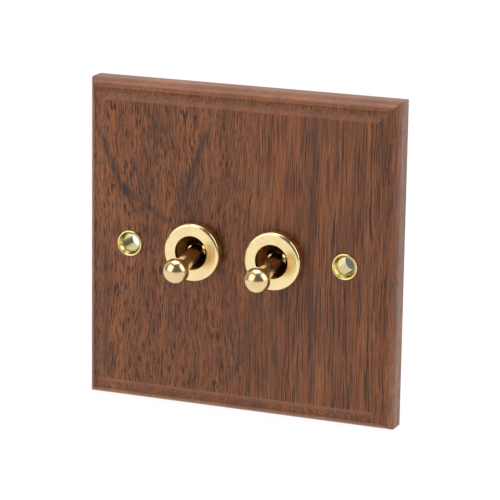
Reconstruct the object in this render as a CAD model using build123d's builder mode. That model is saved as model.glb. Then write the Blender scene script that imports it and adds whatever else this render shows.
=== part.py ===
"""Two-gang toggle wall switch: a moulded walnut plate with two brass dolly switches.

Millimetres. X runs to the right, Y runs into the wall, Z runs up. The origin is the centre of
the plate's back, on the wall's surface, so the room side is at negative Y.
"""

import os
from math import asin, cos, radians, sin, sqrt

from build123d import *

os.makedirs("parts", exist_ok=True)

# ---- Driving dimensions -------------------------------------------------------------------

# Walnut plate
plate_size = 86.0
plate_depth = 9.1
straight_side = 4.2
cove_inset = 5.15
quirk_inset = 2.3
quirk_depth = 8.02
bead_top_inset = 2.1
bead_top_depth = 8.2
bead_top_slope = 0.45
pocket_size = 74.0
pocket_corner = 4.0
pocket_depth = 2.8

# Eyelets that line the two fixing holes
fixing_spacing = 60.3
eyelet_bore_radius = 2.3
eyelet_tube_radius = 3.0
eyelet_flange_radius = 3.45
eyelet_lip_height = 0.5
eyelet_dish_depth = 0.75
eyelet_roll_height = 0.4

# Gangs
gang_spacing = 22.5
neck_radius = 5.9
neck_hole_radius = 6.0
neck_bore_radius = 4.45
throat_radius = 2.9
throat_mouth_radius = 4.35
neck_front = -11.1
throat_front = -9.7
throat_rear = -9.2
flange_width = 20.0
flange_height = 30.0
flange_corner = 2.0

# Bezel ring and its washer
ring_front = -12.5
ring_radius = 7.75
ring_front_round = 0.85
ring_rear_round = 0.25
ring_bore_radius = 4.52
ring_bore_length = 1.3
ring_rim_thickness = 2.9
ring_base_radius = 7.1
washer_thickness = 0.3
washer_radius = 6.9

# Lever, measured along its own axis from its pivot
pivot_depth = -6.0
rest_tilt = 9.5
ball_distance = 16.2
ball_radius = 3.4
collar_radius = 2.2
collar_start = 13.3
collar_end = 12.7
stem_radius = 2.03
hub_radius = 3.0
barrel_radius = 2.6
barrel_length = 6.4
tail_radius = 1.7
tail_length = 10.0
pin_radius = 1.0
pin_length = 11.6
pin_chamfer = 0.2
running_clearance = 0.05

# Nylon actuator on the lever's tail, with its sprung plunger
actuator_start = 5.0
actuator_end = 15.0
actuator_radius = 3.0
actuator_chamfer = 0.4
plunger_radius = 1.2
plunger_tip = 18.0
plunger_foot = 12.6
spring_seat = 10.4
spring_radius = 0.85
spring_wire_radius = 0.15
spring_turns = 5

# Rocking contact, measured from its own fulcrum
fulcrum_depth = 13.6
rocker_tilt = 12.0
rocker_width = 5.0
rocker_thickness = 0.8
rocker_arm_length = 8.2
rocker_arm_front = -2.75
trough_radius = 4.5
trough_centre = -6.0
saddle_width = 3.0
fulcrum_radius = 0.6
tip_radius = 1.4
tip_height = 0.6
tip_distance = 6.6
dome_radius = 3.0
dome_disc_radius = 1.6
contact_gap = 0.06

# Module body
body_width = 21.0
body_height = 36.0
body_front = -0.2
body_rear = 22.4
body_wall = 1.6
body_corner = 1.0
cover_thickness = 2.0
lever_opening_radius = 5.0

# Terminals
block_width = 6.0
block_height = 5.6
block_front = 14.8
block_offset = 5.3
wire_radius = 1.6
wire_depth = 17.4
wire_window_radius = 2.1
strip_thickness = 0.8
strip_left = 4.3
strip_right = 1.8
strip_reach = 4.2
strip_root = 1.4
terminal_thread_radius = 1.4
terminal_head_radius = 2.6
terminal_head_height = 1.6
terminal_tip_gap = 0.2
bridge_front = 16.4
bridge_thickness = 1.0
bridge_half_height = 1.5
arm_gap = 1.0
arm_width = 2.0
prop_radius = 1.5
rib_spacing = 3.0
head_hole_gap = 0.3

# Small screws that hold the module together
small_screw_radius = 1.1
small_head_radius = 2.2
small_head_height = 1.1
slot_width = 0.7
slot_depth = 0.6
frame_screw_height = 12.4
frame_screw_length = 6.0
cover_post_radius = 1.9
cover_post_x = 7.2
cover_post_z = 6.5
cover_screw_length = 9.0

# Steel yoke in the plate's rear pocket
yoke_width = 48.0
yoke_height = 64.0
yoke_corner = 4.0
yoke_thickness = 1.2
yoke_bend_radius = 1.0
wood_screw_x = 19.0
wood_screw_z = 27.0
wood_screw_radius = 1.5
wood_screw_length = 6.0
wood_head_radius = 2.8
wood_head_height = 1.4
wood_screw_clearance = 0.1
earth_tab_width = 10.0
earth_tab_reach = 8.0
earth_screw_depth = 3.6
earth_screw_radius = 1.6
earth_screw_length = 6.0
earth_head_radius = 3.0
earth_head_height = 2.0
earth_clamp_size = 7.4
earth_clamp_thickness = 0.8

# ---- Derived places -----------------------------------------------------------------------

half_plate = plate_size / 2
face = -plate_depth
pocket_floor = -pocket_depth
yoke_rear = pocket_floor + yoke_thickness
washer_front = face - washer_thickness
cover_rear = body_rear + cover_thickness
block_z = body_height / 2 - body_wall - block_height / 2
inner_width = body_width - 2 * body_wall
inner_height = body_height - 2 * body_wall
gangs = {"left": -gang_spacing / 2, "right": gang_spacing / 2}
block_places = {"upper": (-block_offset, block_z), "lower": (-block_offset, -block_z)}
common_place = (block_offset, -block_z)
terminal_places = [*block_places.values(), common_place]
cover_screw_places = [(cover_post_x, cover_post_z), (-cover_post_x, -cover_post_z)]


# ---- Planes and shared shapes -------------------------------------------------------------


def room_plane(x, y, z):
    """Plane at depth y whose normal points into the room, with X to the right and Z up."""
    return Plane(origin=(x, y, z), x_dir=(1, 0, 0), z_dir=(0, -1, 0))


def turning_plane(x, z):
    """Half-section plane of a piece turned about the line through (x, z) that runs along Y."""
    return Plane(origin=(x, 0, z), x_dir=(1, 0, 0), z_dir=(0, 0, 1))


def turning_axis(x, z):
    """The line through (x, z) that runs into the wall."""
    return Axis((x, 0, z), (0, 1, 0))


def lever_plane(x):
    """Half-section plane of the lever at rest: radius first, then distance behind the pivot."""
    return Plane(origin=(x, pivot_depth, 0), x_dir=(1, 0, 0), z_dir=tilted(rest_tilt, 0, 1))


def lever_axis(x):
    """The lever's own axis at rest, running from its tip to its tail."""
    return Axis((x, pivot_depth, 0), tilted(rest_tilt, 1, 0))


def tilted(angle, y, z):
    """A direction in the YZ plane after it turns by an angle that lifts what is behind."""
    turn = radians(angle)
    return (0, y * cos(turn) - z * sin(turn), y * sin(turn) + z * cos(turn))


def rocker_plane(x):
    """Section plane of the rocking contact: along its arms first, then away from the room."""
    turn = radians(rocker_tilt)
    return Plane(origin=(x, fulcrum_depth, 0), x_dir=(0, sin(turn), cos(turn)), z_dir=(-1, 0, 0))


def slab(x, z, width, height, front, rear, mode=Mode.ADD):
    """A block between two depths, centred on (x, z)."""
    with BuildSketch(room_plane(x, rear, z)) as outline:
        Rectangle(width, height)
    extrude(outline.sketch, amount=rear - front, mode=mode)


def soft_slab(x, z, width, height, corner, front, rear, mode=Mode.ADD):
    """A block between two depths with rounded upright corners."""
    with BuildSketch(room_plane(x, rear, z)) as outline:
        RectangleRounded(width, height, corner)
    extrude(outline.sketch, amount=rear - front, mode=mode)


def rod(x, z, radius, front, rear, mode=Mode.ADD):
    """A round bar or hole between two depths, centred on (x, z)."""
    with BuildSketch(room_plane(x, rear, z)) as outline:
        Circle(radius)
    extrude(outline.sketch, amount=rear - front, mode=mode)


def upright_rod(x, y, radius, low, high, mode=Mode.ADD):
    """A round bar or hole that runs up from low to high, centred on (x, y)."""
    with BuildSketch(Plane(origin=(x, y, low), x_dir=(1, 0, 0), z_dir=(0, 0, 1))) as outline:
        Circle(radius)
    extrude(outline.sketch, amount=high - low, mode=mode)


def sideways_rod(x, y, radius, length, mode=Mode.ADD):
    """A round bar or hole along X, centred on (x, y) at Z = 0."""
    middle = Plane(origin=(x, y, 0), x_dir=(0, 1, 0), z_dir=(1, 0, 0))
    with BuildSketch(middle) as outline:
        Circle(radius)
    extrude(outline.sketch, amount=length / 2, both=True, mode=mode)


def turned(plane, axis, points, mode=Mode.ADD):
    """A piece turned from a half section given as radius and depth."""
    with BuildSketch(plane) as section:
        with BuildLine():
            Polyline(*points, close=True)
        make_face()
    revolve(section.sketch, axis=axis, mode=mode)


def countersunk_screw(x, z, face_depth, length, inward):
    """A small countersunk screw, its head flush at face_depth, pointing along inward (+1 or -1)."""
    neck = face_depth + inward * small_head_height
    tip = face_depth + inward * length
    turned(
        turning_plane(x, z),
        turning_axis(x, z),
        [
            (0, face_depth),
            (small_head_radius, face_depth),
            (small_screw_radius, neck),
            (small_screw_radius, tip),
            (0, tip),
        ],
    )
    bottom = face_depth + inward * slot_depth
    front, rear = sorted((face_depth, bottom))
    slab(x, z, 2 * small_head_radius, slot_width, front, rear, mode=Mode.SUBTRACT)


def countersink(x, z, face_depth, through, inward):
    """The hole that a small countersunk screw sits in, down to the depth called through."""
    turned(
        turning_plane(x, z),
        turning_axis(x, z),
        [
            (0, face_depth),
            (small_head_radius, face_depth),
            (small_screw_radius, face_depth + inward * small_head_height),
            (small_screw_radius, through),
            (0, through),
        ],
        mode=Mode.SUBTRACT,
    )


def save(piece, label):
    """Names a finished piece and writes it."""
    piece.label = label
    export_step(piece, f"parts/{label}.step")


# ---- Plate and what is fastened to it -----------------------------------------------------


def plate_section(plane):
    """Full cross-section of the moulded plate, with a bead, a quirk and a cove on each edge."""
    side = (half_plate, -straight_side)
    bead_top = (half_plate - bead_top_inset, -bead_top_depth)
    quirk = (half_plate - quirk_inset, -quirk_depth)
    arris = (half_plate - cove_inset, face)
    cove_width = cove_inset - quirk_inset
    cove_drop = plate_depth - quirk_depth
    cove_radius = (cove_width**2 + cove_drop**2) / (2 * cove_drop)
    half_turn = asin(cove_width / cove_radius) / 2
    cove_middle = (
        quirk[0] - cove_radius * sin(half_turn),
        quirk[1] - cove_radius * (1 - cos(half_turn)),
    )
    with BuildSketch(plane) as section:
        with BuildLine():
            Line((0, 0), (half_plate, 0))
            Line((half_plate, 0), side)
            Spline(side, bead_top, tangents=((0, -1), (-1, -bead_top_slope)), tangent_scalars=(1, 1))
            Line(bead_top, quirk)
            ThreePointArc(quirk, cove_middle, arris)
            Line(arris, (0, face))
            Line((0, face), (0, 0))
        make_face()
        mirror(about=Plane.YZ)
    return section.sketch


def make_wood_plate():
    """Moulded square of walnut with mitred edges and a shallow pocket in its back."""
    bottom_edge = Plane.XY.offset(-half_plate)
    right_edge = Plane(origin=(half_plate, 0, 0), x_dir=(0, 0, 1), z_dir=(-1, 0, 0))
    with BuildPart() as wood_plate:
        extrude(plate_section(bottom_edge), amount=plate_size)
        extrude(plate_section(right_edge), amount=plate_size, mode=Mode.INTERSECT)
        soft_slab(0, 0, pocket_size, pocket_size, pocket_corner, pocket_floor, 0, Mode.SUBTRACT)
        for x in gangs.values():
            rod(x, 0, neck_hole_radius, face, pocket_floor, Mode.SUBTRACT)
        for x in (-fixing_spacing / 2, fixing_spacing / 2):
            rod(x, 0, eyelet_tube_radius, face, pocket_floor, Mode.SUBTRACT)
        for x, z in wood_screw_places():
            rod(x, z, wood_screw_radius, wood_screw_tip(), pocket_floor, Mode.SUBTRACT)
    save(wood_plate.part, "wood_plate")


def wood_screw_places():
    """Centres of the screws that hold the yoke to the plate."""
    return [(x, z) for x in (-wood_screw_x, wood_screw_x) for z in (-wood_screw_z, wood_screw_z)]


def wood_screw_tip():
    """Depth that the yoke's screws reach inside the plate."""
    return yoke_rear - wood_screw_length


def make_eyelet(side, x):
    """Brass eyelet: a dished flange with a rolled lip, a straight tube and a rear roll."""
    lip_radius = eyelet_lip_height / 2
    lip_front = face - eyelet_lip_height
    dish_bottom = face + eyelet_dish_depth
    roll_rear = pocket_floor + eyelet_roll_height
    with BuildPart() as eyelet:
        with BuildSketch(turning_plane(x, 0)) as section:
            with BuildLine():
                Polyline(
                    (eyelet_flange_radius - 2 * lip_radius, lip_front + lip_radius),
                    (eyelet_bore_radius + lip_radius / 2, dish_bottom - lip_radius),
                    (eyelet_bore_radius, dish_bottom),
                    (eyelet_bore_radius, roll_rear),
                    (eyelet_flange_radius, roll_rear),
                    (eyelet_flange_radius, pocket_floor),
                    (eyelet_tube_radius, pocket_floor),
                    (eyelet_tube_radius, face),
                    (eyelet_flange_radius, face),
                    (eyelet_flange_radius, lip_front + lip_radius),
                )
                ThreePointArc(
                    (eyelet_flange_radius, lip_front + lip_radius),
                    (eyelet_flange_radius - lip_radius, lip_front),
                    (eyelet_flange_radius - 2 * lip_radius, lip_front + lip_radius),
                )
            make_face()
        revolve(section.sketch, axis=turning_axis(x, 0))
    save(eyelet.part, f"{side}_eyelet")


def make_yoke():
    """Flat steel yoke behind the plate, with a tab bent back for the earth screw."""
    tab_low = -yoke_height / 2
    tab_middle = tab_low + yoke_thickness / 2
    with BuildPart() as yoke:
        soft_slab(0, 0, yoke_width, yoke_height, yoke_corner, pocket_floor, yoke_rear)
        slab(0, tab_middle, earth_tab_width, yoke_thickness, yoke_rear, earth_tab_reach)
        bend = yoke.edges().filter_by(Axis.X).group_by(Axis.Z)[0]
        fillet(bend.sort_by(Axis.Y)[0], yoke_bend_radius)
        for x in gangs.values():
            rod(x, 0, neck_hole_radius, pocket_floor, yoke_rear, Mode.SUBTRACT)
        for x, z in wood_screw_places():
            hole = wood_screw_radius + wood_screw_clearance
            rod(x, z, hole, pocket_floor, yoke_rear, Mode.SUBTRACT)
        tab_top = tab_low + yoke_thickness
        upright_rod(0, earth_screw_depth, earth_screw_radius, tab_low, tab_top, Mode.SUBTRACT)
    save(yoke.part, "mounting_yoke")


def make_wood_screws():
    """Four pan-head screws that hold the yoke to the plate."""
    head_rear = yoke_rear + wood_head_height
    with BuildPart() as wood_screws:
        for x, z in wood_screw_places():
            rod(x, z, wood_screw_radius, wood_screw_tip(), yoke_rear)
            rod(x, z, wood_head_radius, yoke_rear, head_rear)
            slot_front = head_rear - slot_depth
            slab(x, z, 2 * wood_head_radius, slot_width, slot_front, head_rear, Mode.SUBTRACT)
    save(wood_screws.part, "yoke_wood_screws")


def make_earth_terminal():
    """Saddle clamp and screw under the yoke's tab, for the earth wire."""
    tab_low = -yoke_height / 2
    clamp_low = tab_low - earth_clamp_thickness
    head_low = clamp_low - earth_head_height
    clamp_middle = (tab_low + clamp_low) / 2
    half_clamp = earth_clamp_size / 2
    with BuildPart() as earth_clamp:
        slab(
            0,
            clamp_middle,
            earth_clamp_size,
            earth_clamp_thickness,
            earth_screw_depth - half_clamp,
            earth_screw_depth + half_clamp,
        )
        upright_rod(0, earth_screw_depth, earth_screw_radius, clamp_low, tab_low, Mode.SUBTRACT)
    save(earth_clamp.part, "earth_clamp")
    with BuildPart() as earth_screw:
        upright_rod(0, earth_screw_depth, earth_head_radius, head_low, clamp_low)
        upright_rod(0, earth_screw_depth, earth_screw_radius, clamp_low, clamp_low + earth_screw_length)
        slab(
            0,
            head_low + slot_depth / 2,
            slot_width,
            slot_depth,
            earth_screw_depth - earth_head_radius,
            earth_screw_depth + earth_head_radius,
            Mode.SUBTRACT,
        )
    save(earth_screw.part, "earth_screw")


# ---- One gang: front trim and lever -------------------------------------------------------


def make_bezel_ring(side, x):
    """Brass ring that screws on the neck: a flat rim in front of a narrower base."""
    rim_rear = ring_front + ring_rim_thickness
    shoulder = ring_front + ring_bore_length
    with BuildPart() as bezel_ring:
        rod(x, 0, ring_radius, ring_front, rim_rear)
        front_edge, rear_edge = bezel_ring.edges().filter_by(GeomType.CIRCLE).sort_by(Axis.Y)
        fillet(front_edge, ring_front_round)
        fillet(rear_edge, ring_rear_round)
        rod(x, 0, ring_base_radius, rim_rear, washer_front)
        rod(x, 0, ring_bore_radius, ring_front, washer_front, Mode.SUBTRACT)
        rod(x, 0, neck_radius, shoulder, washer_front, Mode.SUBTRACT)
    save(bezel_ring.part, f"{side}_bezel_ring")


def make_ring_washer(side, x):
    """Thin fibre washer between the ring and the wood."""
    with BuildPart() as ring_washer:
        rod(x, 0, washer_radius, washer_front, face)
        rod(x, 0, neck_hole_radius, washer_front, face, Mode.SUBTRACT)
    save(ring_washer.part, f"{side}_ring_washer")


def make_threaded_neck(side, x):
    """Brass neck with a dished throat for the lever and a flange behind the yoke."""
    with BuildPart() as threaded_neck:
        rod(x, 0, neck_radius, neck_front, yoke_rear)
        soft_slab(x, 0, flange_width, flange_height, flange_corner, yoke_rear, body_front)
        rod(x, 0, neck_bore_radius, throat_rear, body_front, Mode.SUBTRACT)
        rod(x, 0, throat_radius, neck_front, throat_rear, Mode.SUBTRACT)
        turned(
            turning_plane(x, 0),
            turning_axis(x, 0),
            [
                (0, neck_front),
                (throat_mouth_radius, neck_front),
                (throat_radius, throat_front),
                (0, throat_front),
            ],
            Mode.SUBTRACT,
        )
        sideways_rod(x, pivot_depth, pin_radius, 2 * neck_radius, Mode.SUBTRACT)
        for z in (-frame_screw_height, frame_screw_height):
            countersink(x, z, yoke_rear, body_front, 1)
    save(threaded_neck.part, f"{side}_threaded_neck")


def make_dolly_lever(side, x):
    """Turned brass lever: ball, collar and stem in front of a cross hub, and a tail behind it."""
    ball_back = ball_distance - sqrt(ball_radius**2 - stem_radius**2)
    hub_front = sqrt(hub_radius**2 - stem_radius**2)
    hub_rear = sqrt(hub_radius**2 - tail_radius**2)
    neck_end = collar_end - (collar_radius - stem_radius)
    with BuildPart() as dolly_lever:
        with BuildSketch(lever_plane(x)) as section:
            with BuildLine():
                Line((0, -ball_distance - ball_radius), (0, tail_length))
                Line((0, tail_length), (tail_radius, tail_length))
                Line((tail_radius, tail_length), (tail_radius, hub_rear))
                ThreePointArc((tail_radius, hub_rear), (hub_radius, 0), (stem_radius, -hub_front))
                Line((stem_radius, -hub_front), (stem_radius, -neck_end))
                Line((stem_radius, -neck_end), (collar_radius, -collar_end))
                Line((collar_radius, -collar_end), (collar_radius, -collar_start))
                Line((collar_radius, -collar_start), (stem_radius, -ball_back))
                ThreePointArc(
                    (stem_radius, -ball_back),
                    (ball_radius, -ball_distance),
                    (0, -ball_distance - ball_radius),
                )
            make_face()
        revolve(section.sketch, axis=lever_axis(x))
        sideways_rod(x, pivot_depth, barrel_radius, barrel_length)
        pin_hole = pin_radius + running_clearance
        sideways_rod(x, pivot_depth, pin_hole, barrel_length, Mode.SUBTRACT)
    save(dolly_lever.part, f"{side}_dolly_lever")


def make_pivot_pin(side, x):
    """Steel pin across the neck that the lever turns on."""
    with BuildPart() as pivot_pin:
        sideways_rod(x, pivot_depth, pin_radius, pin_length)
        chamfer(pivot_pin.edges().filter_by(GeomType.CIRCLE), pin_chamfer)
    save(pivot_pin.part, f"{side}_pivot_pin")


def make_actuator(side, x):
    """Nylon sleeve pressed on the lever's tail, bored from behind for the plunger."""
    plunger_bore = plunger_radius + running_clearance
    with BuildPart() as actuator:
        turned(
            lever_plane(x),
            lever_axis(x),
            [
                (tail_radius, actuator_start),
                (actuator_radius, actuator_start),
                (actuator_radius, actuator_end - actuator_chamfer),
                (actuator_radius - actuator_chamfer, actuator_end),
                (plunger_bore, actuator_end),
                (plunger_bore, spring_seat),
                (0, spring_seat),
                (0, tail_length),
                (tail_radius, tail_length),
            ],
        )
    save(actuator.part, f"{side}_actuator")


def make_plunger(side, x):
    """Round-nosed brass plunger that presses the rocking contact."""
    nose = plunger_tip - plunger_radius
    slant = plunger_radius * sqrt(0.5)
    with BuildPart() as plunger:
        with BuildSketch(lever_plane(x)) as section:
            with BuildLine():
                Line((0, plunger_foot), (plunger_radius, plunger_foot))
                Line((plunger_radius, plunger_foot), (plunger_radius, nose))
                ThreePointArc((plunger_radius, nose), (slant, nose + slant), (0, plunger_tip))
                Line((0, plunger_tip), (0, plunger_foot))
            make_face()
        revolve(section.sketch, axis=lever_axis(x))
    save(plunger.part, f"{side}_plunger")


def make_plunger_spring(side, x):
    """Small coil spring behind the plunger, inside the actuator."""
    wire_gap = spring_wire_radius + running_clearance
    height = plunger_foot - spring_seat - 2 * wire_gap
    along = tilted(rest_tilt, 1, 0)
    seat = Vector(x, pivot_depth, 0) + Vector(*along) * (spring_seat + wire_gap)
    coil = Helix(height / spring_turns, height, spring_radius, center=seat, direction=along)
    with BuildPart() as plunger_spring:
        with BuildSketch(Plane(origin=coil @ 0, z_dir=coil % 0)) as wire:
            Circle(spring_wire_radius)
        sweep(wire.sketch, path=coil, is_frenet=True)
    save(plunger_spring.part, f"{side}_plunger_spring")


# ---- One gang: contacts and terminals -----------------------------------------------------


def make_rocker_contact(side, x):
    """Bent brass rocker: a trough that the plunger sweeps, two arms and a notched saddle."""
    arm_middle = rocker_arm_front + rocker_thickness / 2
    trough_back = trough_radius + rocker_thickness
    notch_radius = fulcrum_radius + running_clearance
    with BuildPart() as rocker_contact:
        with BuildSketch(rocker_plane(x)) as section:
            with Locations((0, trough_centre)):
                Circle(trough_back)
            with Locations((0, rocker_arm_front)):
                Rectangle(
                    3 * trough_back,
                    3 * trough_back,
                    align=(Align.CENTER, Align.MAX),
                    mode=Mode.SUBTRACT,
                )
            with Locations((0, arm_middle)):
                Rectangle(2 * rocker_arm_length, rocker_thickness)
            Rectangle(saddle_width, -trough_centre - trough_radius, align=(Align.CENTER, Align.MAX))
            with Locations((0, trough_centre)):
                Circle(trough_radius, mode=Mode.SUBTRACT)
            Circle(notch_radius, mode=Mode.SUBTRACT)
        extrude(section.sketch, amount=rocker_width / 2, both=True)
    save(rocker_contact.part, f"{side}_rocker_contact")


def rocker_point(x, along, away):
    """Where a point of the rocking contact stands at rest."""
    return rocker_plane(x).from_local_coords((along, away, 0))


def rocker_arm_back():
    """Distance of the arms' rear face from the fulcrum."""
    return rocker_arm_front + rocker_thickness


def make_rocker_tips(side, x):
    """Silver buttons under the ends of the rocking contact."""
    away = tilted(-rocker_tilt, 1, 0)
    with BuildPart() as rocker_tips:
        for along in (-tip_distance, tip_distance):
            start = rocker_point(x, along, rocker_arm_back())
            with BuildSketch(Plane(origin=start, x_dir=(1, 0, 0), z_dir=away)) as outline:
                Circle(tip_radius)
            extrude(outline.sketch, amount=tip_height)
    save(rocker_tips.part, f"{side}_rocker_tips")


def make_fixed_contact(side, x, place, sign):
    """Domed silver button that the rocker's tip meets."""
    turn = radians(rocker_tilt)
    away = rocker_arm_back() + tip_height + contact_gap + dome_radius
    centre_y = fulcrum_depth + away * cos(turn) + tip_distance * sin(turn)
    centre_z = sign * (tip_distance * cos(turn) - away * sin(turn))
    rim = centre_y - sqrt(dome_radius**2 - dome_disc_radius**2)
    half_disc = dome_disc_radius / 2
    arc_middle = (half_disc, centre_y - sqrt(dome_radius**2 - half_disc**2))
    with BuildPart() as fixed_contact:
        with BuildSketch(turning_plane(x, centre_z)) as section:
            with BuildLine():
                ThreePointArc((0, centre_y - dome_radius), arc_middle, (dome_disc_radius, rim))
                Line((dome_disc_radius, rim), (dome_disc_radius, block_front))
                Line((dome_disc_radius, block_front), (0, block_front))
                Line((0, block_front), (0, centre_y - dome_radius))
            make_face()
        revolve(section.sketch, axis=turning_axis(x, centre_z))
    save(fixed_contact.part, f"{side}_{place}_contact")


def terminal_block(x, z):
    """Brass block with a wire bore that runs up and down and a screw hole from behind."""
    low = z - block_height / 2
    slab(x, z, block_width, block_height, block_front, body_rear)
    upright_rod(x, wire_depth, wire_radius, low, low + block_height, Mode.SUBTRACT)
    rod(x, z, terminal_thread_radius, wire_depth, body_rear, Mode.SUBTRACT)


def make_way_terminal(side, x, place, sign):
    """Terminal of one way: a block and the strip that carries its fixed contact."""
    strip_end = block_z - block_height / 2 + strip_root
    strip_z = sign * (strip_reach + strip_end) / 2
    strip_x = x + (strip_right - strip_left) / 2
    strip_rear = block_front + strip_thickness
    width = strip_left + strip_right
    with BuildPart() as way_terminal:
        terminal_block(x - block_offset, sign * block_z)
        slab(strip_x, strip_z, width, strip_end - strip_reach, block_front, strip_rear)
    save(way_terminal.part, f"{side}_{place}_terminal")


def make_common_terminal(side, x):
    """Common terminal: a block, an arm beside the rocker and the ridge that it rocks on."""
    bridge_rear = bridge_front + bridge_thickness
    bridge_left = x - rocker_width / 2 - arm_gap
    arm_right = x + rocker_width / 2 + arm_gap + arm_width
    bridge_width = arm_right - bridge_left
    arm_height = block_z + bridge_half_height
    arm_z = (bridge_half_height - block_z) / 2
    ridge_length = rocker_width + 2 * arm_gap
    with BuildPart() as common_terminal:
        slab(arm_right - arm_width / 2, arm_z, arm_width, arm_height, bridge_front, bridge_rear)
        slab(
            bridge_left + bridge_width / 2,
            0,
            bridge_width,
            2 * bridge_half_height,
            bridge_front,
            bridge_rear,
        )
        slab(x, 0, ridge_length, fulcrum_radius, fulcrum_depth, bridge_front)
        sideways_rod(x, fulcrum_depth, fulcrum_radius, ridge_length)
        terminal_block(x + block_offset, -block_z)
    save(common_terminal.part, f"{side}_common_terminal")


def make_terminal_screws(side, x):
    """Slotted screws, backed off, that clamp the wires in the terminal blocks."""
    head_rear = body_rear + terminal_head_height
    tip = wire_depth + wire_radius + terminal_tip_gap
    with BuildPart() as terminal_screws:
        for offset, z in terminal_places:
            screw_x = x + offset
            rod(screw_x, z, terminal_thread_radius, tip, body_rear)
            rod(screw_x, z, terminal_head_radius, body_rear, head_rear)
            slot_front = head_rear - slot_depth
            width = 2 * terminal_head_radius
            slab(screw_x, z, width, slot_width, slot_front, head_rear, Mode.SUBTRACT)
    save(terminal_screws.part, f"{side}_terminal_screws")


# ---- One gang: module body ----------------------------------------------------------------


def make_housing(side, x):
    """Open-backed moulded body with posts for its screws and ribs under the blocks."""
    floor = body_front + body_wall
    post_end = body_front + frame_screw_length
    with BuildPart() as housing:
        soft_slab(x, 0, body_width, body_height, body_corner, body_front, body_rear)
        slab(x, 0, inner_width, inner_height, floor, body_rear, Mode.SUBTRACT)
        for z in (-frame_screw_height, frame_screw_height):
            rod(x, z, small_head_radius, floor, post_end)
        for offset, z in terminal_places:
            for rib in (-rib_spacing / 2, rib_spacing / 2):
                slab(x + offset + rib, z, body_wall, block_height, floor, block_front)
        for offset, z in cover_screw_places:
            rod(x + offset, z, cover_post_radius, floor, body_rear)
        rod(x, 0, lever_opening_radius, body_front, floor, Mode.SUBTRACT)
        for z in (-frame_screw_height, frame_screw_height):
            reach = yoke_rear + frame_screw_length
            rod(x, z, small_screw_radius, body_front, reach, Mode.SUBTRACT)
        for offset, z in cover_screw_places:
            reach = cover_rear - cover_screw_length
            rod(x + offset, z, small_screw_radius, reach, body_rear, Mode.SUBTRACT)
        for offset, z in terminal_places:
            start = z - block_height / 2 if z < 0 else z + block_height / 2
            end = start - body_wall if z < 0 else start + body_wall
            low, high = sorted((start, end))
            upright_rod(x + offset, wire_depth, wire_window_radius, low, high, Mode.SUBTRACT)
    save(housing.part, f"{side}_housing")


def make_frame_screws(side, x):
    """Countersunk screws that hold the neck's flange to the housing."""
    with BuildPart() as frame_screws:
        for z in (-frame_screw_height, frame_screw_height):
            countersunk_screw(x, z, yoke_rear, frame_screw_length, 1)
    save(frame_screws.part, f"{side}_frame_screws")


def make_rear_cover(side, x):
    """Cover that closes the housing, holed for the terminal screws, with a central prop."""
    prop_front = bridge_front + bridge_thickness
    head_hole = terminal_head_radius + head_hole_gap
    with BuildPart() as rear_cover:
        soft_slab(x, 0, body_width, body_height, body_corner, body_rear, cover_rear)
        rod(x, 0, prop_radius, prop_front, body_rear)
        for offset, z in terminal_places:
            rod(x + offset, z, head_hole, body_rear, cover_rear, Mode.SUBTRACT)
        for offset, z in cover_screw_places:
            countersink(x + offset, z, cover_rear, body_rear, -1)
    save(rear_cover.part, f"{side}_rear_cover")


def make_cover_screws(side, x):
    """Countersunk screws that hold the rear cover."""
    with BuildPart() as cover_screws:
        for offset, z in cover_screw_places:
            countersunk_screw(x + offset, z, cover_rear, cover_screw_length, -1)
    save(cover_screws.part, f"{side}_cover_screws")


# ---- The whole switch ---------------------------------------------------------------------

make_wood_plate()
make_eyelet("left", -fixing_spacing / 2)
make_eyelet("right", fixing_spacing / 2)
make_yoke()
make_wood_screws()
make_earth_terminal()

for side, x in gangs.items():
    make_bezel_ring(side, x)
    make_ring_washer(side, x)
    make_threaded_neck(side, x)
    make_dolly_lever(side, x)
    make_pivot_pin(side, x)
    make_actuator(side, x)
    make_plunger(side, x)
    make_plunger_spring(side, x)
    make_rocker_contact(side, x)
    make_rocker_tips(side, x)
    for place, sign in (("upper", 1), ("lower", -1)):
        make_fixed_contact(side, x, place, sign)
        make_way_terminal(side, x, place, sign)
    make_common_terminal(side, x)
    make_terminal_screws(side, x)
    make_housing(side, x)
    make_frame_screws(side, x)
    make_rear_cover(side, x)
    make_cover_screws(side, x)
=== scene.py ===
"""The looks of a two-gang toggle wall switch: walnut plate, turned brass toggles and their works.

Everything is in metres in the CAD frame: X to the right, Y into the wall, Z up, with the origin
at the centre of the plate's back. Material recipes work in millimetres of that same frame.
"""

import math

import bpy
from mathutils import Matrix, Vector


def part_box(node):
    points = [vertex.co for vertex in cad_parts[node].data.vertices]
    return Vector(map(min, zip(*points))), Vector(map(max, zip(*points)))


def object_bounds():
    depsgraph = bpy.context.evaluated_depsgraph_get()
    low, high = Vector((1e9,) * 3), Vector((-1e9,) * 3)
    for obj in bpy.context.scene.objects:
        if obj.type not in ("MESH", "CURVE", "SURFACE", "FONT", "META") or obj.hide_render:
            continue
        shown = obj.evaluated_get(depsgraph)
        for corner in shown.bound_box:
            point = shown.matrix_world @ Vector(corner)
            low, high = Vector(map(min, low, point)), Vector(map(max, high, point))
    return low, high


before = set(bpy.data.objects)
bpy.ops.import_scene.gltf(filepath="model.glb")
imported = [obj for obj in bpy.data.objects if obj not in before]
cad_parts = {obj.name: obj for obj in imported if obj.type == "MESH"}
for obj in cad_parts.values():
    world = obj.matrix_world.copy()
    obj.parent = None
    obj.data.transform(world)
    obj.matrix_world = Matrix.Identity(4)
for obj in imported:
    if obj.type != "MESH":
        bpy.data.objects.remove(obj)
cad_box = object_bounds()

mm = 0.001

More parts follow.
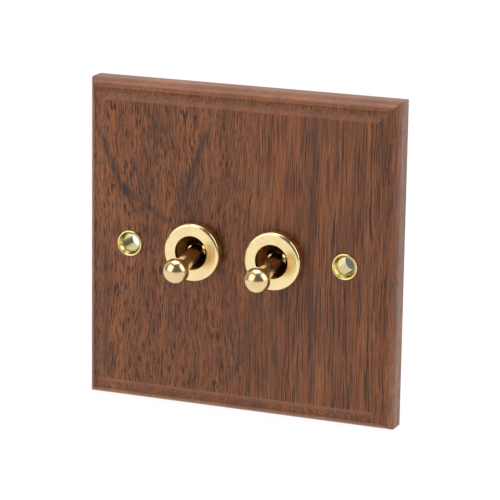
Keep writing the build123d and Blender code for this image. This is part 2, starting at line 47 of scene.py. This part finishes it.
# ---------------------------------------------------------------- camera
camera_azimuth = 21.9       # degrees to the right of square on
camera_elevation = 13.6     # degrees above level
camera_roll = 0.87          # degrees
camera_distance = 699 * mm
camera_lens = 191.7         # millimetres, on a 36 mm sensor
camera_aim = Vector((0.3, 0, -0.7)) * mm
nearest_seen = 0.01
farthest_seen = 100


def make_camera():
    azimuth = math.radians(camera_azimuth)
    elevation = math.radians(camera_elevation)
    back = Vector((
        math.sin(azimuth) * math.cos(elevation),
        -math.cos(azimuth) * math.cos(elevation),
        math.sin(elevation),
    ))
    right = Vector((math.cos(azimuth), math.sin(azimuth), 0))
    turn = Matrix((right, back.cross(right), back)).transposed().to_4x4()
    roll = Matrix.Rotation(math.radians(camera_roll), 4, "Z")
    camera = bpy.data.objects.new("camera", bpy.data.cameras.new("camera"))
    camera.data.lens = camera_lens
    camera.data.clip_start = nearest_seen
    camera.data.clip_end = farthest_seen
    camera.matrix_world = Matrix.Translation(camera_aim + back * camera_distance) @ turn @ roll
    bpy.context.scene.collection.objects.link(camera)
    bpy.context.scene.camera = camera


# ---------------------------------------------------------------- studio
floor_half = 3.0            # the floor's half width
floor_gap = 0.1 * mm        # the floor lies this far below the plate's lower edge
floor_tone = 0.05           # how much light the floor throws back, beside its own glow
floor_roughness = 0.9
floor_glow = 0.97           # so bright that hardly any shadow shows on it
standing_depth = 4.2        # millimetres of the plate's lower edge that stand flat on the floor
painted_shadow_fade = 1.0          # millimetres over which the painted contact shadow fades back to the full glow
softboxes = {
    # name: (direction from the switch, distance, side, radiance), each square and aimed at the switch
    "softbox_left": ((-0.54, -0.69, 0.49), 1.6, 1.48, 1.9),
    "softbox_right": ((0.84, 0.19, 0.51), 1.6, 1.48, 1.9),
    "softbox_above": ((-0.12, 0.12, 0.98), 1.6, 1.15, 3.0),
}
room_in_front = 0.16        # how bright the room is in front of the switch
room_behind = 0.95
room_fade = 0.35            # it goes from one to the other between minus and plus this much Y


def make_floor():
    """A glowing white floor with a painted contact shadow: no glow where the plate's lower edge stands on
    it.
    """
    lowest = cad_box[0].z - floor_gap
    corners = [(-1, -1), (1, -1), (1, 1), (-1, 1)]
    mesh = bpy.data.meshes.new("floor")
    mesh.from_pydata([(a * floor_half, b * floor_half, lowest) for a, b in corners], [], [(0, 1, 2, 3)])
    floor = bpy.data.objects.new("floor", mesh)
    bpy.context.scene.collection.objects.link(floor)
    paint = Recipe("floor_white_with_painted_shadow")
    paint.set("Base Color", (floor_tone, floor_tone, floor_tone, 1))
    paint.set("Roughness", floor_roughness)
    paint.set("Specular IOR Level", 0.0)
    paint.set("Emission Color", (1, 1, 1, 1))
    place = paint.place()
    x = paint.part(place, "X")
    y = paint.part(place, "Y")
    plate_half = (cad_box[1] / mm).x
    # Painted contact shadow: the glow is cut out where the plate's lower edge stands, and fades back in
    # around it.
    across = paint.span(paint.math("ABSOLUTE", x), plate_half - 2 * painted_shadow_fade, plate_half - painted_shadow_fade)
    before = paint.span(y, -standing_depth + painted_shadow_fade, -standing_depth)
    behind = paint.span(y, -painted_shadow_fade, 0.0)
    outside_painted_shadow = paint.math("MAXIMUM", across, paint.math("MAXIMUM", before, behind))
    paint.set("Emission Strength", paint.times(outside_painted_shadow, floor_glow))
    mesh.materials.append(paint.material)


def make_softbox(name, direction, distance, side, radiance):
    light = bpy.data.lights.new(name, "AREA")
    light.shape = "SQUARE"
    light.size = side
    light.energy = radiance * math.pi * side * side
    lamp = bpy.data.objects.new(name, light)
    lamp.location = Vector(direction).normalized() * distance
    lamp.rotation_euler = (-lamp.location).to_track_quat("-Z", "Y").to_euler()
    bpy.context.scene.collection.objects.link(lamp)


def make_surroundings():
    """White behind the switch and dim in front of it, and plain white where the camera looks past it."""
    world = bpy.data.worlds.new("studio")
    bpy.context.scene.world = world
    world.use_nodes = True
    tree = world.node_tree
    tree.nodes.clear()
    ray = tree.nodes.new("ShaderNodeTexCoord")
    split = tree.nodes.new("ShaderNodeSeparateXYZ")
    tree.links.new(ray.outputs["Generated"], split.inputs[0])
    fade = tree.nodes.new("ShaderNodeMapRange")
    fade.interpolation_type = "SMOOTHSTEP"
    tree.links.new(split.outputs["Y"], fade.inputs["Value"])
    fade.inputs["From Min"].default_value = -room_fade
    fade.inputs["From Max"].default_value = room_fade
    fade.inputs["To Min"].default_value = room_in_front
    fade.inputs["To Max"].default_value = room_behind
    room = tree.nodes.new("ShaderNodeBackground")
    tree.links.new(fade.outputs["Result"], room.inputs["Strength"])
    backdrop = tree.nodes.new("ShaderNodeBackground")
    backdrop.inputs["Color"].default_value = (1, 1, 1, 1)
    path = tree.nodes.new("ShaderNodeLightPath")
    choose = tree.nodes.new("ShaderNodeMixShader")
    tree.links.new(path.outputs["Is Camera Ray"], choose.inputs[0])
    tree.links.new(room.outputs[0], choose.inputs[1])
    tree.links.new(backdrop.outputs[0], choose.inputs[2])
    output = tree.nodes.new("ShaderNodeOutputWorld")
    tree.links.new(choose.outputs[0], output.inputs["Surface"])


# ---------------------------------------------------------------- material building blocks
# The places of the Mix node's colour sockets, whose names it uses for its number sockets too.
mix_share = 0
mix_first = 6
mix_second = 7
mix_colour = 2


def linear(red, green, blue):
    """A screen colour, 0 to 255, as the linear colour that a shader takes."""
    def channel(value):
        share = value / 255
        return share / 12.92 if share <= 0.04045 else ((share + 0.055) / 1.055) ** 2.4
    return (channel(red), channel(green), channel(blue), 1)


class Recipe:
    """One procedural material. Each call adds a node and hands back its output."""

    def __init__(self, name):
        self.material = bpy.data.materials.new(name)
        self.material.use_nodes = True
        self.tree = self.material.node_tree
        self.shader = self.tree.nodes["Principled BSDF"]
        self.coordinates = self.tree.nodes.new("ShaderNodeTexCoord")

    def put(self, socket, value):
        if isinstance(value, bpy.types.NodeSocket):
            self.tree.links.new(value, socket)
        else:
            socket.default_value = value

    def set(self, name, value):
        self.put(self.shader.inputs[name], value)

    def node(self, kind, inputs, **settings):
        made = self.tree.nodes.new(kind)
        for key, value in settings.items():
            setattr(made, key, value)
        for name, value in inputs.items():
            self.put(made.inputs[name], value)
        return made

    def math(self, operation, first, second=0.0):
        return self.node("ShaderNodeMath", {0: first, 1: second}, operation=operation).outputs[0]

    def add(self, first, second):
        return self.math("ADD", first, second)

    def times(self, first, second):
        return self.math("MULTIPLY", first, second)

    def place(self):
        """Where the shaded point is, in millimetres of the CAD frame."""
        metres = self.coordinates.outputs["Object"]
        scaled = self.node("ShaderNodeVectorMath", {0: metres}, operation="SCALE")
        scaled.inputs["Scale"].default_value = 1 / mm
        return scaled.outputs[0]

    def part(self, vector, axis):
        return self.node("ShaderNodeSeparateXYZ", {0: vector}).outputs[axis]

    def join(self, x, y, z):
        return self.node("ShaderNodeCombineXYZ", {0: x, 1: y, 2: z}).outputs[0]

    def stretch(self, vector, per_mm, shift=(0, 0, 0)):
        made = self.node("ShaderNodeMapping", {"Vector": vector, "Location": shift, "Scale": per_mm})
        return made.outputs[0]

    def noise(self, vector, scale=1.0, detail=2.0, roughness=0.5, distortion=0.0):
        inputs = {"Vector": vector, "Scale": scale, "Detail": detail, "Roughness": roughness}
        inputs["Distortion"] = distortion
        return self.node("ShaderNodeTexNoise", inputs).outputs[0]

    def lines(self, along, per_mm, detail):
        """Noise along one direction only, which is what a cutting tool leaves."""
        inputs = {"W": along, "Scale": per_mm, "Detail": detail}
        return self.node("ShaderNodeTexNoise", inputs, noise_dimensions="1D").outputs[0]

    def span(self, value, low, high, to_low=0.0, to_high=1.0):
        """The value's way from low to high as a smooth way from to_low to to_high."""
        inputs = {"Value": value, "From Min": low, "From Max": high, "To Min": to_low, "To Max": to_high}
        return self.node("ShaderNodeMapRange", inputs, interpolation_type="SMOOTHSTEP").outputs[0]

    def mix(self, share, first, second):
        made = self.node("ShaderNodeMix", {}, data_type="RGBA")
        self.put(made.inputs[mix_share], share)
        self.put(made.inputs[mix_first], first)
        self.put(made.inputs[mix_second], second)
        return made.outputs[mix_colour]

    def relief(self, height, depth, strength=1.0):
        """A normal for a surface whose height goes from 0 to 1 over that depth in millimetres."""
        inputs = {"Height": height, "Distance": depth * mm, "Strength": strength}
        return self.node("ShaderNodeBump", inputs).outputs[0]


# ---------------------------------------------------------------- walnut
wood_tones = {
    "light": linear(162, 99, 59),
    "mid": linear(140, 84, 50),
    "dark": linear(97, 57, 34),
    "red": linear(138, 72, 44),
    "smoke": linear(62, 43, 38),
    "pore": linear(46, 26, 18),
}
evenness = 0.45             # how far the mid tone pulls the light and dark areas together
pore_darkness = 0.92
figure_darkness = 0.95

wood_roughness = 0.48
pore_roughness = 0.62
wood_specular = 0.12
lacquer_weight = 0.42
lacquer_roughness = 0.26
lacquer_ior = 1.5
pore_relief = -0.7
fibre_relief = 0.3
grain_depth = 0.05          # millimetres
grain_relief_strength = 0.6

# The grain wanders to the left and right along the board by these two noises, in millimetres.
drift_scale = (0.05, 0.05, 0.03)
drift_width = 7
ripple_scale = (0.3, 0.3, 0.12)
ripple_width = 1.6
# The board goes from short-pored and wavy on its left to long-pored and straight on its right.
change_from_x = -14.0
change_to_x = 18.0
wander_at_right = 0.35
short_pores_at_right = 0.35
long_pores_at_left = 0.15
long_pores_at_right = 0.9

# Layers of the grain: (features per mm along X, Y and Z), shift of the pattern, detail, roughness.
grain_layers = {
    "broad": ((0.11, 0.11, 0.024), (0, 0, 0), 3, 0.5),
    "streaks": ((0.8, 0.8, 0.022), (31, 0, 7), 4, 0.6),
    "fibres": ((5.0, 5.0, 0.11), (5, 0, 3), 2, 0.5),
    "reds": ((0.4, 0.4, 0.015), (90, 0, 40), 3, 0.5),
    "ticks": ((6.2, 6.2, 0.42), (11, 0, 60), 1, 0.5),
    "strokes": ((6.2, 6.2, 0.09), (70, 0, 20), 1, 0.5),
    "torn": ((1.1, 1.1, 0.10), (3, 0, 5), 3, 0.5),
}
# Tones laid over the board in turn: layer, where in it the tone begins and is full, strength, tone.
overlays = [
    ("streaks", 0.40, 0.72, 0.48, "dark"),
    ("reds", 0.50, 0.68, 0.55, "red"),
    ("fibres", 0.45, 0.66, 0.45, "light"),
    ("fibres", 0.48, 0.32, 0.45, "dark"),
]
# Where in its layer something begins and is full.
broad_limits = (0.33, 0.67)
short_pore_limits = (0.54, 0.61)
long_pore_limits = (0.53, 0.62)
torn_limits = (0.3, 0.6)
torn_lightest = 0.5         # what is left of a dark figure line where it is torn
# Pores show as lines on faces along the grain, and fade on end grain, which faces up or down. These
# are the vertical parts of the face's normal where they have faded and where they show in full.
side_grain_limits = (0.60, 0.25)
pores_on_end_grain = 0.15

# Dark figure lines of the board: (x, z) of the middle, lean (x per z), bow, half length, half width
# and strength.
figure_lines = [
    (-12.5, 21.0, 0.36, 0.000, 15.0, 1.7, 0.95),
    (-35.0, 20.0, -0.50, 0.010, 13.0, 1.6, 0.80),
    (-26.0, 11.0, -1.50, 0.000, 5.5, 2.6, 0.50),
    (21.0, 22.0, 0.03, 0.001, 22.0, 2.6, 0.75),
    (27.0, 29.0, 0.00, 0.000, 12.0, 1.3, 0.60),
    (21.2, -18.0, -0.05, -0.001, 26.0, 1.5, 0.75),
    (3.0, -22.0, 0.25, 0.000, 10.0, 2.0, 0.35),
    (14.5, 4.0, 0.02, 0.001, 36.0, 1.2, 0.35),
]
line_core = 0.45            # the share of a line's length that has its full strength

# Small smoky knots and flecks: (x, z), radius, strength.
figure_spots = [
    (-31.7, 14.4, 2.2, 0.80),
    (-24.0, 16.0, 1.5, 0.45),
    (-36.0, -33.0, 5.0, 0.40),
    (-22.5, 31.0, 4.0, 0.35),
]
spot_core = 0.15            # the share of a spot's radius that has its full strength
spot_squeeze = 0.7          # a spot is longer along the grain by one over this


def line_mark(wood, x, z, mark):
    """Full strength on one dark figure line, fading to 0 beside it and past its ends."""
    centre_x, centre_z, lean, bow, half_length, width, strength = mark
    up = wood.math("SUBTRACT", z, centre_z)
    path = wood.add(wood.times(up, lean), wood.times(wood.times(up, up), bow))
    aside = wood.math("ABSOLUTE", wood.math("SUBTRACT", wood.math("SUBTRACT", x, centre_x), path))
    beside = wood.span(aside, width, 0.0)
    past = wood.span(wood.math("ABSOLUTE", up), half_length, line_core * half_length)
    return wood.times(wood.times(beside, past), strength)


def spot_mark(wood, x, z, mark):
    """Full strength in the middle of one smoky spot, fading to 0 at its radius."""
    centre_x, centre_z, radius, strength = mark
    aside = wood.math("SUBTRACT", x, centre_x)
    up = wood.times(wood.math("SUBTRACT", z, centre_z), spot_squeeze)
    far = wood.math("SQRT", wood.add(wood.times(aside, aside), wood.times(up, up)))
    return wood.times(wood.span(far, radius, spot_core * radius), strength)


def walnut():
    wood = Recipe("walnut")
    place = wood.place()
    x = wood.part(place, "X")
    y = wood.part(place, "Y")
    z = wood.part(place, "Z")
    rightward = wood.span(x, change_from_x, change_to_x)

    drift = wood.math("SUBTRACT", wood.noise(wood.stretch(place, drift_scale)), 0.5)
    ripple = wood.noise(wood.stretch(place, ripple_scale))
    wander = wood.add(wood.times(drift, drift_width), wood.times(ripple, ripple_width))
    wander = wood.times(wander, wood.span(rightward, 0, 1, 1.0, wander_at_right))
    grain = wood.join(wood.add(x, wander), y, z)
    layers = {}
    for name, (per_mm, shift, detail, roughness) in grain_layers.items():
        layers[name] = wood.noise(wood.stretch(grain, per_mm, shift), detail=detail, roughness=roughness)

    short_pores = wood.span(layers["ticks"], *short_pore_limits)
    long_pores = wood.span(layers["strokes"], *long_pore_limits)
    pores = wood.add(
        wood.times(short_pores, wood.span(rightward, 0, 1, 1.0, short_pores_at_right)),
        wood.times(long_pores, wood.span(rightward, 0, 1, long_pores_at_left, long_pores_at_right)),
    )
    facing = wood.node("ShaderNodeNewGeometry", {}).outputs["True Normal"]
    upward = wood.math("ABSOLUTE", wood.part(facing, "Z"))
    side_grain = wood.span(upward, *side_grain_limits, pores_on_end_grain, 1.0)
    pores = wood.times(wood.math("MINIMUM", pores, 1.0), side_grain)

    marks = 0.0
    for mark in figure_lines:
        marks = wood.add(marks, line_mark(wood, x, z, mark))
    for mark in figure_spots:
        marks = wood.add(marks, spot_mark(wood, x, z, mark))
    torn = wood.span(layers["torn"], *torn_limits, torn_lightest, 1.0)
    marks = wood.math("MINIMUM", wood.times(marks, torn), 1.0)

    tone = wood.mix(wood.span(layers["broad"], *broad_limits), wood_tones["dark"], wood_tones["light"])
    tone = wood.mix(evenness, tone, wood_tones["mid"])
    for layer, begins, full, strength, over in overlays:
        tone = wood.mix(wood.span(layers[layer], begins, full, 0.0, strength), tone, wood_tones[over])
    tone = wood.mix(wood.times(pores, pore_darkness), tone, wood_tones["pore"])
    tone = wood.mix(wood.times(marks, figure_darkness), tone, wood_tones["smoke"])

    wood.set("Base Color", tone)
    wood.set("Roughness", wood.span(pores, 0, 1, wood_roughness, pore_roughness))
    wood.set("Specular IOR Level", wood_specular)
    wood.set("Coat Weight", lacquer_weight)
    wood.set("Coat Roughness", lacquer_roughness)
    wood.set("Coat IOR", lacquer_ior)
    surface = wood.add(wood.times(pores, pore_relief), wood.times(layers["fibres"], fibre_relief))
    wood.set("Normal", wood.relief(surface, grain_depth, grain_relief_strength))
    return wood.material


# ---------------------------------------------------------------- metals
noise_limits = (0.3, 0.7)   # a noise's usual lowest and highest values
cloud_limits = (0.35, 0.7)  # where in its noise a metal's second tone begins and is full
cloud_strength = 0.5

turned_clouds_per_mm = 0.35
tool_marks_per_mm = 6.0
turned_roughness_shares = (0.85, 1.2)
polish_share = 0.35         # roughness of a polished stretch, as a share of the satin one's
polish_edge = 0.1           # millimetres either side of the line between satin and polished
turned_brass = {
    # name: tone, tint, roughness, depth of the tool marks in millimetres
    "eyelet": (linear(240, 226, 160), linear(226, 208, 136), 0.2, 0.0003),
    "ring": (linear(246, 224, 172), linear(238, 212, 152), 0.2, 0.004),
    "lever": (linear(236, 206, 160), linear(222, 188, 136), 0.21, 0.0006),
    # The neck's brass is darkened to a deep brown: painted shade for the throat inside the bezel ring.
    "neck": (linear(104, 72, 42), linear(72, 48, 29), 0.3, 0.003),
}

plain_clouds_per_mm = 0.4
plain_roughness_shares = (0.75, 1.3)
plain_metals = {
    # name: tone, tint, roughness, marks per mm, their depth in mm, their scale along X, Y and Z
    "zinc": (linear(196, 198, 202), linear(172, 176, 178), 0.30, 3.0, 0.004, (1, 1, 1)),
    "screw_zinc": (linear(205, 205, 203), linear(176, 178, 176), 0.26, 5.0, 0.003, (1, 1, 1)),
    "sheet_brass": (linear(222, 182, 104), linear(196, 150, 82), 0.26, 4.0, 0.003, (1, 1, 0.05)),
    "sawn_brass": (linear(216, 180, 110), linear(190, 150, 88), 0.34, 7.0, 0.006, (0.05, 1, 1)),
    "silver": (linear(226, 226, 222), linear(186, 184, 178), 0.24, 6.0, 0.003, (1, 1, 1)),
    "drawn_wire": (linear(170, 172, 176), linear(140, 142, 146), 0.3, 8.0, 0.002, (1, 1, 1)),
}


def shares_of(roughness, shares):
    return roughness * shares[0], roughness * shares[1]


def turned_metal(name, centre_x, tone, tint, roughness, groove, polished_behind=None):
    """Metal from a lathe: fine rings round an axis straight into the wall, and a faintly uneven colour.

    Behind the Y of polished_behind, where there is one, it is polished instead of satin.
    """
    metal = Recipe(name)
    place = metal.place()
    aside = metal.math("SUBTRACT", metal.part(place, "X"), centre_x)
    up = metal.part(place, "Z")
    radius = metal.math("SQRT", metal.add(metal.times(aside, aside), metal.times(up, up)))
    rings = metal.lines(radius, tool_marks_per_mm, detail=3)
    cloud = metal.noise(place, scale=turned_clouds_per_mm, detail=3)
    metal.set("Base Color", metal.mix(metal.span(cloud, *cloud_limits, 0.0, cloud_strength), tone, tint))
    metal.set("Metallic", 1.0)
    satin = metal.span(cloud, *noise_limits, *shares_of(roughness, turned_roughness_shares))
    if polished_behind is not None:
        begins = polished_behind - polish_edge
        ends = polished_behind + polish_edge
        satin = metal.times(satin, metal.span(metal.part(place, "Y"), begins, ends, 1.0, polish_share))
    metal.set("Roughness", satin)
    metal.set("Normal", metal.relief(rings, groove))
    return metal.material


def plain_metal(name, tone, tint, roughness, per_mm, relief, stretch):
    """Stamped, drawn or plated metal: clouded colour, and fine marks that may be drawn out one way."""
    metal = Recipe(name)
    place = metal.place()
    cloud = metal.noise(place, scale=plain_clouds_per_mm, detail=4)
    drawn = metal.noise(metal.stretch(place, stretch), scale=per_mm, detail=3)
    metal.set("Base Color", metal.mix(metal.span(cloud, *cloud_limits, 0.0, cloud_strength), tone, tint))
    metal.set("Metallic", 1.0)
    metal.set("Roughness", metal.span(drawn, *noise_limits, *shares_of(roughness, plain_roughness_shares)))
    metal.set("Normal", metal.relief(drawn, relief))
    return metal.material


# ---------------------------------------------------------------- plastics and fibre
flow_scale = (0.12, 0.3, 0.12)
flow_bend = 1.0
flow_limits = (0.35, 0.65)
flow_strength = 0.5
specks_per_mm = 2.4
speck_limits = (0.68, 0.74)
speck_strength = 0.6
moulded_roughness_shares = (0.85, 1.15)
scatter_depth = 0.6 * mm
plastics = {
    # name: tone, tint, roughness, skin grains per mm, their depth in mm, share of light that goes in
    "nylon": (linear(232, 226, 208), linear(214, 206, 184), 0.42, 3.0, 0.01, 0.3),
    "phenolic": (linear(34, 33, 34), linear(50, 47, 46), 0.38, 2.2, 0.02, 0.0),
}

fibre_tone = linear(66, 36, 26)
fibre_tint = linear(112, 66, 46)
fibre_flecks_per_mm = 5
fibre_fleck_limits = (0.4, 0.7)
fibre_roughness = 0.7
fibre_depth = 0.02          # millimetres


def moulded(name, tone, tint, roughness, grain_per_mm, relief, scatter):
    """Moulded plastic: faint flow clouds, a fine mould skin and a few specks of filler."""
    plastic = Recipe(name)
    place = plastic.place()
    flow = plastic.noise(plastic.stretch(place, flow_scale), detail=4, distortion=flow_bend)
    skin = plastic.noise(place, scale=grain_per_mm, detail=3)
    filler = plastic.noise(place, scale=specks_per_mm, detail=1)
    specks = plastic.span(filler, *speck_limits, 0.0, speck_strength)
    base = plastic.mix(plastic.span(flow, *flow_limits, 0.0, flow_strength), tone, tint)
    plastic.set("Base Color", plastic.mix(specks, base, tint))
    dull = shares_of(roughness, moulded_roughness_shares)
    plastic.set("Roughness", plastic.span(flow, *noise_limits, *dull))
    plastic.set("Subsurface Weight", scatter)
    plastic.set("Subsurface Scale", scatter_depth)
    plastic.set("Normal", plastic.relief(skin, relief))
    return plastic.material


def fibre_washer():
    """Pressed fibre, with lighter flecks in it."""
    fibre = Recipe("fibre")
    flecks = fibre.noise(fibre.place(), scale=fibre_flecks_per_mm, detail=3)
    fibre.set("Base Color", fibre.mix(fibre.span(flecks, *fibre_fleck_limits), fibre_tone, fibre_tint))
    fibre.set("Roughness", fibre_roughness)
    fibre.set("Normal", fibre.relief(flecks, fibre_depth))
    return fibre.material


# ---------------------------------------------------------------- who wears what
gangs = ("left", "right")
satin_face = 0.3            # millimetres of the bezel ring's front that are satin; its rim is polished

# CAD nodes, those of a gang without its side, and the material of each.
plate_dress = {
    "wood_plate": "walnut",
    "mounting_yoke": "zinc",
    "yoke_wood_screws": "screw_zinc",
    "earth_clamp": "zinc",
    "earth_screw": "sawn_brass",
}
gang_dress = {
    "ring_washer": "fibre",
    "pivot_pin": "screw_zinc",
    "actuator": "nylon",
    "plunger": "nylon",
    "plunger_spring": "drawn_wire",
    "rocker_contact": "sheet_brass",
    "rocker_tips": "silver",
    "upper_contact": "silver",
    "lower_contact": "silver",
    "upper_terminal": "sawn_brass",
    "lower_terminal": "sawn_brass",
    "common_terminal": "sawn_brass",
    "terminal_screws": "screw_zinc",
    "frame_screws": "screw_zinc",
    "cover_screws": "screw_zinc",
    "housing": "phenolic",
    "rear_cover": "phenolic",
}


def dress(node, material):
    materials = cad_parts[node].data.materials
    materials.clear()
    materials.append(material)


def middle_x(node):
    low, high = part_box(node)
    return (low.x + high.x) / 2 / mm


def dress_turned_parts(side):
    """The eyelet, ring, lever and neck of one gang, with tool marks round the eyelet's or ring's axis."""
    eyelet = side + "_eyelet"
    dress(eyelet, turned_metal(eyelet, middle_x(eyelet), *turned_brass["eyelet"]))
    centre_x = middle_x(side + "_bezel_ring")
    ring_front = -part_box(side + "_bezel_ring")[0].y / mm
    polished_behind = satin_face - ring_front
    ring = turned_metal(side + "_ring_brass", centre_x, *turned_brass["ring"], polished_behind)
    dress(side + "_bezel_ring", ring)
    dress(side + "_dolly_lever", turned_metal(side + "_lever_brass", centre_x, *turned_brass["lever"]))
    # The neck wears the darkened brass, which is painted shade in the throat.
    dress(side + "_threaded_neck", turned_metal(side + "_neck_brass_painted_shade", centre_x, *turned_brass["neck"]))


def dress_all():
    made = {"walnut": walnut(), "fibre": fibre_washer()}
    for name, recipe in plain_metals.items():
        made[name] = plain_metal(name, *recipe)
    for name, recipe in plastics.items():
        made[name] = moulded(name, *recipe)

    for node, material in plate_dress.items():
        dress(node, made[material])
    for side in gangs:
        dress_turned_parts(side)
        for node, material in gang_dress.items():
            dress(side + "_" + node, made[material])


make_camera()
make_floor()
for name, (direction, distance, side, radiance) in softboxes.items():
    make_softbox(name, direction, distance, side, radiance)
make_surroundings()
dress_all()
bpy.context.scene.view_settings.view_transform = "Standard"
